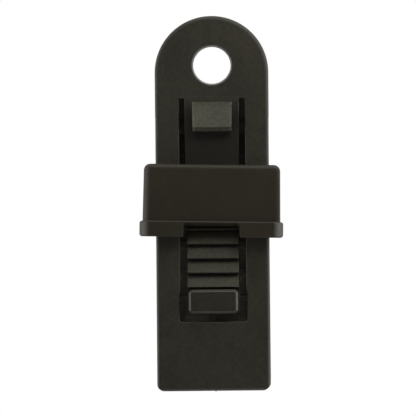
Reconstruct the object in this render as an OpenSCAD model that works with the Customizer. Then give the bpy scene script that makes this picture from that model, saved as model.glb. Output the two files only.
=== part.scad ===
// Tarp clip: two moulded jaws hang from an eyelet, and a ratchet collar slides
// down over them to close them on the edge of a tarp.
// Places along the clip are distances below the eyelet's centre. Depths are distances
// from the plane where the jaws meet, and the front face lies at negative Y.

/* [Clip body] */
// Width across the head and the jaws
body_w = 33.2; // [31:0.1:38]
// How far each side draws in at the waist
waist_in = 0.15; // [0:0.05:0.4]
// Eyelet centre to the top of the arch
eyelet_to_top = 14.5; // [12:0.1:16]
// Front face to the plane where the jaws meet
face_depth = 6; // [5.5:0.1:8]
// Plane where the jaws meet to the back of the head
back_depth = 4.5; // [4:0.1:5]
// Rounding of the long outer edges
edge_r = 1.2; // [0.4:0.1:1.8]
// Rounding of the mouth's corners, seen from the front
lip_corner_r = 2.2; // [0.5:0.1:4]

/* [Eyelet] */
// Diameter of the rope hole
eyelet_d = 11; // [8:0.1:14]
// Rounding of the rope hole's rims
eyelet_rim_r = 0.7; // [0.2:0.1:1.2]

/* [Window and slots] */
// Eyelet centre to the top of the two slots
window_start = 9.8; // [8.5:0.1:12]
// Width of the window in the front jaw
window_w = 19.2; // [18.6:0.1:22]
// Extra room on each side beside the release button
window_flare = 0.3; // [0:0.05:0.6]
// Rounding of the window's lower corners
window_corner_r = 1; // [0.3:0.1:1.5]
// Rounding of the slots' upper corners
slot_corner_r = 0.3; // [0.1:0.1:0.6]
// Gap between the tongue's free end and the window's lower edge
window_end_gap = 2.4; // [1.5:0.1:4]

/* [Jaw walls] */
// Thickness of the front jaw's plate
plate_t = 3.5; // [3.4:0.1:4.2]
// Width of the side rims that stiffen both jaws
rim_w = 3; // [2:0.1:4]
// Eyelet centre to the top of the space between the jaws
throat_start = 7.8; // [7.2:0.1:8.5]
// Thickness of the plate that the rear jaw flexes from
root_t = 3; // [2.4:0.1:3.4]
// Thickness of the rear jaw's skin
skin_t = 2.4; // [1.8:0.1:3]

/* [Flexing web] */
// Eyelet centre to the web's bending line
hinge_drop = 16; // [15:0.1:17]
// Length of the web between its two plates
web_l = 1.6; // [1.2:0.1:2.4]
// Thickness of the web
web_t = 0.8; // [0.6:0.1:1]
// Gap between the jaws' rims when they are shut
shut_gap = 0.1; // [0.05:0.05:0.3]
// Angle that the rear jaw opens in all
open_angle = 8; // [5:0.5:8]

/* [Rear jaw] */
// Radius of the ramp that the collar rides up
ramp_r = 95; // [90:1:110]
// Plane where the jaws meet to the back of the rear jaw's belly
belly_depth = 7.8; // [6.5:0.1:7.9]
// Length of the belly's flat below the ramp
belly_l = 4.9; // [3:0.1:7]
// End of the belly's flat to the window's lower edge
belly_lead = 3.5; // [2:0.1:5]
// Thickness of the rear jaw at its tip
tip_t = 4.2; // [3.5:0.1:5]
// Number of cross ribs inside the rear jaw
rib_count = 6; // [3:1:7]
// Thickness of the ribs
rib_t = 1.4; // [1:0.1:2]
// Room between the ribs and the pressed tongue when the jaws are shut
rib_room = 1.1; // [0.5:0.1:1.5]

/* [Grip] */
// Length of the solid gripping block at the mouth
grip_l = 18.6; // [18:0.1:24]
// Bar between the window and the gripping block
grip_bar = 1.8; // [1:0.1:3]
// Pitch of the ridges
ridge_pitch = 3; // [2.5:0.1:3.2]
// Height of the ridges
ridge_h = 1.2; // [0.8:0.1:1.4]
// Number of ridges on the front jaw; the rear jaw has one less
ridge_count = 5; // [3:1:5]
// Gap between meshed ridges when the jaws are shut
ridge_gap = 0.25; // [0.15:0.05:0.5]
// Thickness of the flat foot that carries the ridges, let into each jaw
ridge_foot = 0.5; // [0.4:0.1:0.8]

/* [Tongue] */
// Width of the tongue along its teeth
tongue_w = 15.3; // [15:0.1:15.8]
// Width of the tongue at its root
tongue_root_w = 16; // [15.8:0.1:16.6]
// Thickness of the tongue below its teeth
tongue_t = 2; // [1.8:0.1:2.1]
// How far the tongue lies below the front face
tongue_recess = 1.3; // [0.8:0.1:1.4]
// Length over which the root curves down to the tongue
slope_l = 9.3; // [6:0.1:12]
// Radius of the rounded root that the tongue bends about
root_r = 1.2; // [0.9:0.1:1.25]
// Running gap around the rounded root
root_gap = 0.08; // [0.05:0.01:0.1]
// Top of the slots to the tongue's bending line
root_drop = 0.7; // [0.6:0.1:1]
// Angle that the tongue is pressed in to free the collar
press_angle = 2.6; // [2.4:0.1:2.8]

/* [Ratchet teeth] */
// Pitch of the teeth
tooth_pitch = 4.25; // [4:0.05:4.5]
// Height of the teeth
tooth_h = 1.4; // [1:0.05:1.4]
// Number of teeth
tooth_count = 7; // [6:1:8]
// Flat at the crest of each tooth
tooth_land = 0.2; // [0.1:0.05:0.4]
// Lean of each tooth's locking face
tooth_lean = 0.25; // [0:0.05:0.4]
// Thickness of the rack's foot, let into the tongue
rack_foot = 0.4; // [0.3:0.1:0.6]
// Last crest to the release button
button_gap = 0.7; // [0.5:0.1:1]

/* [Stop block] */
// Width of the block
block_w = 12.1; // [8:0.1:14]
// Top of the slots to the start of the block's ramp
block_gap = 0.9; // [0.6:0.1:2]
// Length of the block
block_l = 8.7; // [6:0.1:10]
// Flat at the block's crest
block_land = 0.7; // [0.3:0.1:1.5]
// Height of the block above the front face
block_proud = 2; // [1.2:0.1:2.6]
// Chamfer along the block's sides
block_chamfer = 0.7; // [0.2:0.1:1]
// Chamfer under the block's crest
block_lip = 0.5; // [0.2:0.1:0.8]

/* [Release button] */
// Tongue's bending line to the top of the button
button_drop = 55.3; // [55:0.1:60]
// Width of the button
button_w = 14.7; // [12:0.1:15]
// Length of the button along the clip
button_l = 7; // [5:0.1:8]
// Height of the button above the front face
button_proud = 1.5; // [1:0.1:2]
// Rounding of the button's corners, seen from the front
button_corner_r = 1.1; // [0.4:0.1:2]
// Rounding of the button's front edges
button_edge_r = 0.7; // [0.3:0.1:1]

/* [Collar] */
// Number of the tooth that holds the collar as drawn, counted from the top
held_tooth = 2; // [2:1:3]
// Length of the collar without its flange
collar_l = 16.7; // [15.5:0.1:20]
// Length of the flange
flange_l = 4.5; // [3:0.1:6]
// How far the flange stands out
flange_out = 0.95; // [0.5:0.05:2]
// Thickness of the collar's side walls
collar_side_t = 2.95; // [2:0.05:4]
// Thickness of the collar's front and back walls
collar_face_t = 2.5; // [2:0.1:3.5]
// Gap beside the jaws
side_gap = 0.5; // [0.3:0.05:0.8]
// Gap in front of the front jaw
front_gap = 0.3; // [0.2:0.05:0.5]
// Gap behind the rear jaw's belly
back_gap = 0.5; // [0.3:0.05:0.8]
// How far each side draws in from the flange to the collar's top edge
collar_draft = 0.25; // [0:0.05:0.4]
// Rounding of the collar's upright corners
collar_r = 1.8; // [1:0.1:3]
// Rounding of the flange's upright corners
flange_r = 2.9; // [1:0.1:4]
// Rounding of the collar's end edges
collar_edge_r = 0.7; // [0.3:0.1:1]
// Width of the notch in the flange
notch_w = 16.5; // [15:0.1:18]
// How far the notch's walls lean in, on each side
notch_lean = 0.45; // [0:0.05:0.6]

/* [Pawl] */
// Collar's top edge to the pawl's locking face
pawl_drop = 14.9; // [14:0.1:15]
// Length of the pawl along the clip
pawl_l = 2.2; // [1.6:0.1:2.6]
// Width of the pawl
pawl_w = 14.6; // [10:0.1:15]
// Gap between the pawl's locking face and the tooth's
pawl_gap = 0.15; // [0.1:0.05:0.3]
// Gap between the pawl and the valleys and ramps of the teeth
pawl_lift = 0.25; // [0.2:0.05:0.4]
// Gap left above the raised collar, below the stop block
stop_gap = 0.3; // [0.2:0.05:0.5]

/* [Hidden] */
$fn = 96;
ARCH_FN = 192;
RAMP_STEPS = 16;
SLOPE_STEPS = 8;
past = 1;                     // how far a cut runs past the face that it opens
plastic = "#2d2a24";

// Widths, as half widths from the middle
body_h = body_w / 2;
waist_h = body_h - waist_in;
hollow_h = body_h - rim_w;
arch_drop = body_h - eyelet_to_top;

// Depths
face_y = -face_depth;
plate_y = face_y + plate_t;
tongue_y = face_y + tongue_recess;
tongue_back_y = tongue_y + tongue_t;
root_y = tongue_back_y - root_r;
crest_y = tongue_y - tooth_h;
root_front_y = back_depth - root_t;
hinge_y = back_depth - root_t / 2;

// Places along the clip
root_s = window_start + root_drop;
button_s = root_s + button_drop;
tongue_end = button_s + button_l;
window_end = tongue_end + window_end_gap;
grip_s = window_end + grip_bar;
mouth_s = grip_s + grip_l;
web_top = hinge_drop - web_l / 2;
web_end = hinge_drop + web_l / 2;
block_s = window_start + block_gap;
block_end = block_s + block_l;
rack_end = button_s;
last_crest = button_s - button_gap;
rack_s = last_crest - tooth_count * tooth_pitch;
rear_hollow_s = web_end + rim_w;
belly_end = window_end - belly_lead;
taper_s = mouth_s - 2 * edge_r;

// The ramp ends where the belly's flat begins
ramp_rise = belly_depth - back_depth;
ramp_start = belly_end - belly_l - sqrt(ramp_rise * (2 * ramp_r - ramp_rise));

// Places of the collar and the pawl as drawn
lock_s = crest_s(held_tooth) + pawl_gap;
collar_s = lock_s - pawl_drop;
flange_s = collar_s + collar_l;
collar_end = flange_s + flange_l;
notch_s = lock_s + pawl_l;
waist_s = (collar_s + collar_end) / 2;

// Depths and half widths of the collar
bore_h = body_h + side_gap;
bore_front_y = face_y - front_gap;
bore_back_y = belly_depth + back_gap;
collar_h = bore_h + collar_side_t;
collar_front_y = bore_front_y - collar_face_t;
collar_back_y = bore_back_y + collar_face_t;

// Travel: the jaws are shut when the collar is down by as many clicks as it can go
clicks = floor((last_crest - lock_s) / tooth_pitch);
slide_down = clicks * tooth_pitch;
slide_up = collar_s - block_end - stop_gap;
drawn_open = open_angle * slide_down / (slide_down + slide_up);

// Depth that the pressed tongue's free end reaches, and of the ribs behind it
pressed_y = tongue_back_y + (tongue_end - root_s) * sin(press_angle);
rib_y = pressed_y + rib_room;

// Ridges
ridge_zone = ridge_count * ridge_pitch;
ridge_s = grip_s + (grip_l - ridge_zone) / 2;
ridge_valley_y = -(ridge_h - ridge_gap) / 2;
front_ridge_seat_y = ridge_valley_y - ridge_foot;
rear_ridge_valley_y = ridge_valley_y + ridge_h + ridge_gap;
rear_ridge_seat_y = rear_ridge_valley_y + ridge_foot;

// Distance below the eyelet's centre of a tooth's crest, the first being the topmost
function crest_s(number) = last_crest - (tooth_count - number) * tooth_pitch;

// Depth of the ramp that rises to a tooth's crest, at a distance past the crest before it
ramp_run = tooth_pitch - tooth_land - tooth_lean;
function ramp_y(past_crest) = tongue_y - tooth_h * (past_crest - tooth_lean) / ramp_run;

// Extrudes a side outline, drawn in depth and height, across the clip
module across(w) {
    rotate([90, 0, 90])
        linear_extrude(w, center = true)
            children();
}

// Extrudes an outline, drawn as seen from the front, between two depths
module through(y0, y1) {
    translate([0, y1, 0])
        rotate([90, 0, 0])
            linear_extrude(y1 - y0)
                children();
}

// Extrudes a plan section down the clip between two places
module down(s0, s1) {
    translate([0, 0, -s1])
        linear_extrude(s1 - s0)
            children();
}

// Rectangle between two corners
module rect(x0, y0, x1, y1) {
    translate([x0, y0])
        square([x1 - x0, y1 - y0]);
}

// Rectangle between two corners, with round corners
module round_rect(x0, y0, x1, y1, r) {
    rect(x0 + r, y0, x1 - r, y1);
    rect(x0, y0 + r, x1, y1 - r);
    for (x = [x0 + r, x1 - r], y = [y0 + r, y1 - r])
        translate([x, y])
            circle(r);
}

// Block between two depths and two places, all of whose edges are round
module soft_block(half_w, y0, y1, s0, s1, upright_r, end_r) {
    intersection() {
        down(s0, s1)
            round_rect(-half_w, y0, half_w, y1, upright_r);
        across(2 * half_w)
            round_rect(y0, -s1, y1, -s0, end_r);
        through(y0, y1)
            round_rect(-half_w, -s1, half_w, -s0, end_r);
    }
}

// Turns the rear jaw about the web's bending line
module swung(angle) {
    translate([0, hinge_y, -hinge_drop])
        rotate([angle, 0, 0])
            translate([0, -hinge_y, hinge_drop])
                children();
}

// Outline of both jaws from the front: drawn in at the waist, round at the mouth's corners
module jaw_face() {
    polygon([
        [-body_h, -arch_drop], [-waist_h, -waist_s], [-body_h, lip_corner_r - mouth_s],
        [body_h, lip_corner_r - mouth_s], [waist_h, -waist_s], [body_h, -arch_drop]
    ]);
    round_rect(-body_h, -mouth_s, body_h, 3 * lip_corner_r - mouth_s, lip_corner_r);
}

// Half section of the head: a thick disc with round rims
module head_section() {
    intersection() {
        round_rect(-body_h, -back_depth, body_h, face_depth, edge_r);
        rect(0, -back_depth, body_h, face_depth);
    }
}

// Half section of what the rope hole cuts, with a round flare at each rim
module eyelet_section() {
    r = eyelet_d / 2;
    difference() {
        rect(0, -back_depth - past, r + eyelet_rim_r, face_depth + past);
        rect(r, eyelet_rim_r - back_depth, r + eyelet_rim_r + past, face_depth - eyelet_rim_r);
        for (y = [eyelet_rim_r - back_depth, face_depth - eyelet_rim_r])
            translate([r + eyelet_rim_r, y])
                circle(eyelet_rim_r);
    }
}

// Outline of the window, which is a little wider beside the release button
module window_face() {
    wide_h = window_w / 2 + window_flare;
    wide_s = button_s + window_corner_r;
    round_rect(-window_w / 2, -wide_s - window_corner_r, window_w / 2, -window_start, slot_corner_r);
    round_rect(-wide_h, -window_end, wide_h, -wide_s, window_corner_r);
    polygon([
        [-window_w / 2, window_corner_r - button_s], [-wide_h, -wide_s - window_corner_r],
        [wide_h, -wide_s - window_corner_r], [window_w / 2, window_corner_r - button_s]
    ]);
}

module front_jaw() {
    color(plastic)
    difference() {
        union() {
            // The head's upper half, under the arch
            intersection() {
                translate([0, 0, -arch_drop])
                    rotate([90, 0, 0])
                        rotate_extrude($fn = ARCH_FN)
                            head_section();
                down(-eyelet_to_top, arch_drop)
                    rect(-body_h, face_y, body_h, back_depth);
            }
            // The head's lower half, down to the web
            down(arch_drop, web_top)
                round_rect(-body_h, face_y, body_h, back_depth, edge_r);
            // The front jaw itself
            intersection() {
                down(arch_drop, mouth_s)
                    round_rect(-body_h, face_y, body_h, back_depth, edge_r);
                across(body_w)
                    round_rect(face_y, -mouth_s, 0, edge_r - arch_drop, edge_r);
                through(face_y, 0)
                    jaw_face();
            }
        }
        rotate([90, 0, 0])
            rotate_extrude($fn = ARCH_FN)
                eyelet_section();
        // Space between the front rims and the plate that carries the rear jaw
        across(body_w + 2 * past)
            rect(0, -web_top - past, root_front_y, -throat_start);
        // Hollow behind the front plate, between the rims
        down(throat_start, grip_s)
            rect(-hollow_h, plate_y, hollow_h, root_front_y);
        through(face_y - past, past)
            window_face();
        // Round seat for the root of the tongue
        translate([0, root_y, -root_s])
            rotate([0, 90, 0])
                cylinder(h = tongue_root_w + 2 * root_gap, r = root_r + root_gap, center = true);
        // Seat for the ridges
        across(body_w + 2 * past)
            rect(front_ridge_seat_y, -ridge_s - ridge_zone, past, -ridge_s);
    }
}

// Row of ridges on a flat foot, pointing to positive depths
module ridge_outline(count, foot, height) {
    margin = (ridge_zone - count * ridge_pitch) / 2;
    polygon(concat(
        [[-foot, -ridge_zone], [-foot, 0], [0, 0]],
        [for (i = [0 : count - 1], half = [0 : 1])
            [half * height, -margin - (i + half / 2) * ridge_pitch]],
        [[0, margin - ridge_zone], [0, -ridge_zone]]
    ));
}

module front_grip() {
    color(plastic)
        translate([0, ridge_valley_y, -ridge_s])
            across(2 * waist_h)
                ridge_outline(ridge_count, ridge_foot, ridge_h);
}

module hinge_web() {
    color(plastic) {
        across(2 * hollow_h)
            rect(hinge_y - web_t / 2, -hinge_drop + web_t / 8, hinge_y + web_t / 2, -web_top);
        translate([0, hinge_y, -hinge_drop])
            rotate([0, 90, 0])
                cylinder(h = 2 * hollow_h, r = web_t / 2, center = true);
        swung(drawn_open)
            across(2 * hollow_h)
                rect(hinge_y - web_t / 2, -web_end, hinge_y + web_t / 2, -hinge_drop - web_t / 8);
    }
}

// Point of the ramp at an angle round its centre, with a skin taken off
function ramp_point(skin, angle) = [
    back_depth + ramp_r - (ramp_r + skin) * cos(angle),
    -ramp_start - (ramp_r + skin) * sin(angle)
];

// Side outline of the rear jaw when shut, or of its hollow where its skin is taken off
module rear_outline(skin) {
    ramp_end = acos(1 - ramp_rise / (ramp_r + skin));
    polygon(concat(
        [[shut_gap, -web_end], [back_depth - skin, -web_end]],
        [for (i = [0 : RAMP_STEPS]) ramp_point(skin, ramp_end * i / RAMP_STEPS)],
        [
            [belly_depth - skin, -belly_end], [tip_t - skin, -taper_s],
            [shut_gap, -taper_s]
        ]
    ));
}

// Hollow inside the rear jaw, less the ribs that cross it and the one down its middle
module rear_hollow() {
    rib_pitch = (grip_s - rear_hollow_s) / (rib_count + 1);
    difference() {
        intersection() {
            across(2 * hollow_h)
                union() {
                    rear_outline(skin_t);
                    rect(-past, -grip_s, 2 * shut_gap, -rear_hollow_s);
                }
            down(rear_hollow_s, grip_s)
                rect(-hollow_h, -past, hollow_h, belly_depth);
        }
        down(rear_hollow_s, grip_s)
            rect(-rib_t / 2, rib_y, rib_t / 2, belly_depth);
        for (i = [1 : rib_count])
            down(rear_hollow_s + i * rib_pitch - rib_t / 2, rear_hollow_s + i * rib_pitch + rib_t / 2)
                rect(-hollow_h, rib_y, hollow_h, belly_depth);
    }
}

module rear_jaw() {
    color(plastic)
    swung(drawn_open)
    difference() {
        intersection() {
            union() {
                across(body_w + 2 * past)
                    rear_outline(0);
                across(body_w + 2 * past)
                    round_rect(shut_gap, -mouth_s, tip_t, edge_r - grip_s, edge_r);
            }
            down(web_end - past, mouth_s + past)
                round_rect(-body_h, -2 * edge_r, body_h, belly_depth, edge_r);
            through(-past, belly_depth + past)
                jaw_face();
        }
        rear_hollow();
        across(body_w + 2 * past)
            rect(-past, -ridge_s - ridge_zone, rear_ridge_seat_y, -ridge_s);
    }
}

module rear_grip() {
    color(plastic)
    swung(drawn_open)
        translate([0, rear_ridge_valley_y, -ridge_s])
            mirror([0, 1, 0])
                across(2 * waist_h)
                    ridge_outline(ridge_count - 1, ridge_foot, ridge_h);
}

// Outline of the tongue from the front, tapering from its root to its teeth
module tongue_face() {
    polygon([
        [-tongue_root_w / 2, root_r - root_s], [tongue_root_w / 2, root_r - root_s],
        [tongue_w / 2, -rack_s], [tongue_w / 2, -tongue_end],
        [-tongue_w / 2, -tongue_end], [-tongue_w / 2, -rack_s]
    ]);
}

// Depth of the tongue's front surface, which curves down from the front face
slope = [
    for (i = [0 : SLOPE_STEPS])
        [window_start + slope_l * i / SLOPE_STEPS, face_y + tongue_recess * pow(i / SLOPE_STEPS, 2)]
];
function slope_y(s) = lookup(s, slope);

// Points of that surface between two places, from the top down
function slope_points(s0, s1) = [
    for (point = slope)
        if (point[0] > s0 && point[0] < s1) [point[1], -point[0]]
];

module ratchet_tongue() {
    lip_s = window_start + root_gap;
    color(plastic)
    intersection() {
        across(tongue_root_w)
            union() {
                difference() {
                    polygon(concat(
                        [[slope_y(lip_s), -lip_s]],
                        slope_points(lip_s, tongue_end),
                        [
                            [tongue_y, -tongue_end], [tongue_back_y, -tongue_end],
                            [tongue_back_y, -root_s], [root_y, -root_s], [root_y, -lip_s]
                        ]
                    ));
                    rect(tongue_y - past, -rack_end, tongue_y + rack_foot, -rack_s);
                }
                translate([root_y, -root_s])
                    circle(root_r);
            }
        through(face_y, tongue_back_y)
            tongue_face();
    }
}

module ratchet_teeth() {
    color(plastic)
    across(tongue_w) {
        rect(tongue_y, -rack_end, tongue_y + rack_foot, -rack_s);
        for (i = [1 : tooth_count])
            translate([0, -crest_s(i)])
                polygon([
                    [tongue_y, tooth_pitch - tooth_lean], [crest_y, tooth_land],
                    [crest_y, 0], [tongue_y, -tooth_lean]
                ]);
    }
}

// Bar along the front of a block, with its front edges chamfered; its face is at depth 0
module chamfered_bar(half_w, depth, length, chamfer) {
    down(-length, length)
        polygon([
            [-half_w, depth], [-half_w, chamfer], [chamfer - half_w, 0],
            [half_w - chamfer, 0], [half_w, chamfer], [half_w, depth]
        ]);
}

module stop_block() {
    top_y = face_y - block_proud;
    start_y = slope_y(block_s);
    ramp_end_s = block_end - block_lip - block_land;
    depth = tongue_y - top_y;
    color(plastic)
    intersection() {
        across(block_w)
            polygon(concat(
                [
                    [start_y, -block_s], [top_y, -ramp_end_s], [top_y, block_lip - block_end],
                    [top_y + block_lip, -block_end], [slope_y(block_end), -block_end]
                ],
                [for (i = [SLOPE_STEPS : -1 : 0])
                    if (slope[i][0] > block_s && slope[i][0] < block_end)
                        [slope[i][1], -slope[i][0]]]
            ));
        // Chamfers along the ramp, and along the crest
        translate([0, start_y, -block_s])
            rotate([-atan2(start_y - top_y, ramp_end_s - block_s), 0, 0])
                chamfered_bar(block_w / 2, 2 * depth, 2 * block_l, block_chamfer);
        translate([0, top_y, -block_end])
            chamfered_bar(block_w / 2, 2 * depth, 2 * block_l, block_chamfer);
    }
}

module release_button() {
    front_y = face_y - button_proud;
    color(plastic)
    intersection() {
        soft_block(button_w / 2, front_y, tongue_back_y, button_s, tongue_end,
            button_edge_r, button_edge_r);
        through(front_y, tongue_y)
            round_rect(-button_w / 2, -tongue_end, button_w / 2, -button_s, button_corner_r);
    }
}

// Front outline of the collar above its flange, drawn in towards its top edge
module collar_face() {
    draft = atan2(collar_draft, collar_l);
    centre_x = (collar_h * cos(draft) - flange_s * sin(draft) - collar_edge_r
        + (collar_s + collar_edge_r) * sin(draft)) / cos(draft);
    side_x = centre_x + collar_edge_r * cos(draft);
    side_z = collar_edge_r * sin(draft) - collar_s - collar_edge_r;
    polygon([
        [-collar_h, -collar_end], [-collar_h, -flange_s], [-side_x, side_z], [-centre_x, -collar_s],
        [centre_x, -collar_s], [side_x, side_z], [collar_h, -flange_s], [collar_h, -collar_end]
    ]);
    for (side = [-1, 1])
        translate([side * centre_x, -collar_s - collar_edge_r])
            circle(collar_edge_r);
}

module slide_collar() {
    color(plastic)
    difference() {
        union() {
            intersection() {
                soft_block(collar_h, collar_front_y, collar_back_y, collar_s, flange_s + flange_l / 2,
                    collar_r, collar_edge_r);
                through(collar_front_y, collar_back_y)
                    collar_face();
            }
            soft_block(collar_h + flange_out, collar_front_y - flange_out, collar_back_y + flange_out,
                flange_s, collar_end, flange_r, collar_edge_r);
        }
        down(collar_s - past, collar_end + past)
            round_rect(-bore_h, bore_front_y, bore_h, bore_back_y, edge_r);
        // Notch that bares the teeth and clears the release button
        down(notch_s, collar_end + past)
            polygon([
                [notch_lean - notch_w / 2, bore_front_y + past],
                [notch_lean - notch_w / 2, bore_front_y],
                [-notch_w / 2, collar_front_y - flange_out - past],
                [notch_w / 2, collar_front_y - flange_out - past],
                [notch_w / 2 - notch_lean, bore_front_y],
                [notch_w / 2 - notch_lean, bore_front_y + past]
            ]);
    }
}

module collar_pawl() {
    color(plastic)
    across(pawl_w)
        translate([0, -lock_s])
            polygon([
                [bore_front_y, 0], [crest_y, 0],
                [ramp_y(pawl_gap + tooth_lean) - pawl_lift, -tooth_lean],
                [ramp_y(pawl_gap + pawl_l) - pawl_lift, -pawl_l], [bore_front_y, -pawl_l]
            ]);
}

front_jaw();
front_grip();
hinge_web();
rear_jaw();
rear_grip();
ratchet_tongue();
ratchet_teeth();
stop_block();
release_button();
slide_collar();
collar_pawl();
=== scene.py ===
# %% [markdown]
# # A ratchet tarp clip, dressed for the camera
#
# The clip is two moulded jaws that hang from an eyelet. A collar slides down over them, a
# sprung tongue with saw teeth holds it, and the jaws bite the edge of a tarp. The shapes and
# the joints come from the CAD model. This file gives them moulded edges, skins where the
# plastic bends, small marks from the mould, and a black olive plastic, and then sets up the
# light and the camera of a product photograph.

import math

import bmesh
import bpy
from mathutils import Matrix, Vector


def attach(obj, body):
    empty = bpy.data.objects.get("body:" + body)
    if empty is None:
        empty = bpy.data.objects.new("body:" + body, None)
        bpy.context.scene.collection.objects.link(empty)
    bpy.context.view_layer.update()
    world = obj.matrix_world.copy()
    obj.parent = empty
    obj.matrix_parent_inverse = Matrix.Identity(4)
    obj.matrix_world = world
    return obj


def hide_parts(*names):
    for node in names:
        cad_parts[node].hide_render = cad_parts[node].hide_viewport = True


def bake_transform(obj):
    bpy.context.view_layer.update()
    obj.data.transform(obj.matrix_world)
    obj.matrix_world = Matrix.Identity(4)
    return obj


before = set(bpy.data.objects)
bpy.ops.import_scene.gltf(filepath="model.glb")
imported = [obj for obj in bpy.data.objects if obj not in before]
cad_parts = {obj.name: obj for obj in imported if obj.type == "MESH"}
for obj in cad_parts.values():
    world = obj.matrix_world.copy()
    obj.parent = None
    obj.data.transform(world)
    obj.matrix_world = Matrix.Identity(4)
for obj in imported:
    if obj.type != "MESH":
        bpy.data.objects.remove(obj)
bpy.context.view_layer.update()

# %% [markdown]
# ## Units and directions
# Blender works in metres here, and a clip is easier to think about in millimetres, so `MM`
# turns one into the other. X runs across the clip, Y from front to back, and Z up. The
# eyelet's centre is the origin, so most places are a distance below it.

# %% Units and the depths of the clip's faces
MM = 0.001
FACE_Y = -6.0  # front face of the jaws, in millimetres
TONGUE_Y = -4.7  # front of the tongue below its slope
SLOPE_TOP, SLOPE_END = 9.8, 19.1  # where the tongue leaves the face, and where it levels out
HINGE_Y, HINGE_BELOW = 3.0, 16.0  # the web's bending line
DRAWN_OPEN = math.radians(5.1515)  # how far the rear jaw stands open at rest


def at(x, y, below):
    """A point in metres, from millimetres across, in depth and below the eyelet."""
    return Vector((x, y, -below)) * MM


def tongue_front(below):
    """Depth of the tongue's front surface at a distance below the eyelet."""
    share = min(max((below - SLOPE_TOP) / (SLOPE_END - SLOPE_TOP), 0), 1)
    return FACE_Y + (TONGUE_Y - FACE_Y) * share * share


print("tongue front at its root and its teeth:", tongue_front(SLOPE_TOP), tongue_front(30))

# %% [markdown]
# ## Camera
# The photograph looks straight at the front through a long lens, so no side of the clip
# shows. A camera without perspective would come close, but it would lose the little that a
# real lens shows of the depths. So this one stands two metres away, with a lens to match. It
# is turned by about half a degree, because the clip in the photograph isn't quite upright.

# %% Camera
CAMERA_AWAY = 2.0  # metres
FRAME_WIDTH = 122.35  # millimetres that the picture spans at the clip
FRAME_X, FRAME_BELOW = -1.36, 41.84  # the picture's centre, across and below the eyelet
SENSOR = 36  # millimetres
LEAN = math.radians(0.49)

camera_data = bpy.data.cameras.new("long_lens")
camera_data.sensor_width = SENSOR
camera_data.lens = SENSOR * CAMERA_AWAY / (FRAME_WIDTH * MM)
camera_data.clip_start, camera_data.clip_end = 0.05, 20
camera = bpy.data.objects.new("camera", camera_data)
bpy.context.scene.collection.objects.link(camera)
right = Vector((math.cos(LEAN), 0, -math.sin(LEAN)))
up = Vector((math.sin(LEAN), 0, math.cos(LEAN)))
turn = Matrix((right, up, Vector((0, -1, 0)))).transposed().to_4x4()
stand = at(FRAME_X, 0, FRAME_BELOW) - Vector((0, CAMERA_AWAY, 0))
camera.matrix_world = Matrix.Translation(stand) @ turn
bpy.context.scene.camera = camera
bpy.context.scene.view_settings.view_transform = "Standard"
print(f"lens {camera_data.lens:.0f} mm")

# %% [markdown]
# ## Helpers for node trees
# A material is a tree of nodes. Writing each node and link by hand takes many lines, so one
# helper adds a node and fills its inputs, with numbers or with other nodes' outputs.

# %% Node helpers


def add(tree, kind, feeds=None, **settings):
    """Add a node, with its settings, and fill its inputs with values or sockets."""
    made = tree.nodes.new(kind)
    for name, value in settings.items():
        setattr(made, name, value)
    for key, value in (feeds or {}).items():
        if isinstance(value, bpy.types.NodeSocket):
            tree.links.new(value, made.inputs[key])
        else:
            made.inputs[key].default_value = value
    return made


def sums(tree, operation, *values, clamp=False):
    """One step of arithmetic, as a Math node's output."""
    feeds = dict(enumerate(values))
    return add(tree, "ShaderNodeMath", feeds, operation=operation, use_clamp=clamp).outputs[0]


def band(tree, value, low, high, to_low=0.0, to_high=1.0):
    """A smooth step of a value between two levels."""
    feeds = {"Value": value, "From Min": low, "From Max": high, "To Min": to_low, "To Max": to_high}
    return add(tree, "ShaderNodeMapRange", feeds, interpolation_type="SMOOTHSTEP").outputs["Result"]


def new_group(name, inputs, outputs):
    """An empty node group, with named inputs and their values, and named outputs."""
    group = bpy.data.node_groups.new(name, "ShaderNodeTree")
    for socket, value in inputs.items():
        made = group.interface.new_socket(socket, in_out="INPUT", socket_type="NodeSocketFloat")
        made.default_value = value
    for socket in outputs:
        group.interface.new_socket(socket, in_out="OUTPUT", socket_type="NodeSocketFloat")
    return group, group.nodes.new("NodeGroupInput"), group.nodes.new("NodeGroupOutput")


def scaled_coordinates(tree, scale, stretch=(1, 1, 1)):
    """The piece's own coordinates in millimetres, times a scale, and stretched."""
    place = add(tree, "ShaderNodeTexCoord").outputs["Object"]
    stretched = add(tree, "ShaderNodeVectorMath", {0: place, 1: [s / MM for s in stretch]},
                    operation="MULTIPLY").outputs[0]
    return add(tree, "ShaderNodeVectorMath", {0: stretched, "Scale": scale},
               operation="SCALE").outputs[0]


# %% [markdown]
# ## Moulded grain
# The mould was cut by sparks, which leaves a fine matt grain on the plastic. It is about a
# quarter of a millimetre across, and coarser on the teeth. An image texture would need the
# surfaces unwrapped. Noise in the piece's own coordinates needs no unwrapping, and it stays
# on the piece when a joint moves. The group gives a height for bumps and a slow mottle that
# the plastic's flow leaves in the gloss.

# %% Grain group
grain_group, grain_in, grain_out = new_group(
    "moulded grain", {"Grain Size": 0.3, "Mottle Size": 7.0}, ["Height", "Speckle", "Mottle"])
fine = add(grain_group, "ShaderNodeTexNoise", {
    "Vector": scaled_coordinates(
        grain_group, sums(grain_group, "DIVIDE", 1.0, grain_in.outputs["Grain Size"])),
    "Scale": 1.0, "Detail": 2.0, "Roughness": 0.6})
slow = add(grain_group, "ShaderNodeTexNoise", {
    "Vector": scaled_coordinates(
        grain_group, sums(grain_group, "DIVIDE", 1.0, grain_in.outputs["Mottle Size"]),
        (1, 1, 0.45)),
    "Scale": 1.0, "Detail": 3.0, "Roughness": 0.55, "Distortion": 0.6})
grain_group.links.new(fine.outputs["Fac"], grain_out.inputs["Height"])
speckle = band(grain_group, fine.outputs["Fac"], 0.35, 0.65)
grain_group.links.new(speckle, grain_out.inputs["Speckle"])
mottle = band(grain_group, slow.outputs["Fac"], 0.3, 0.7)
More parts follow.
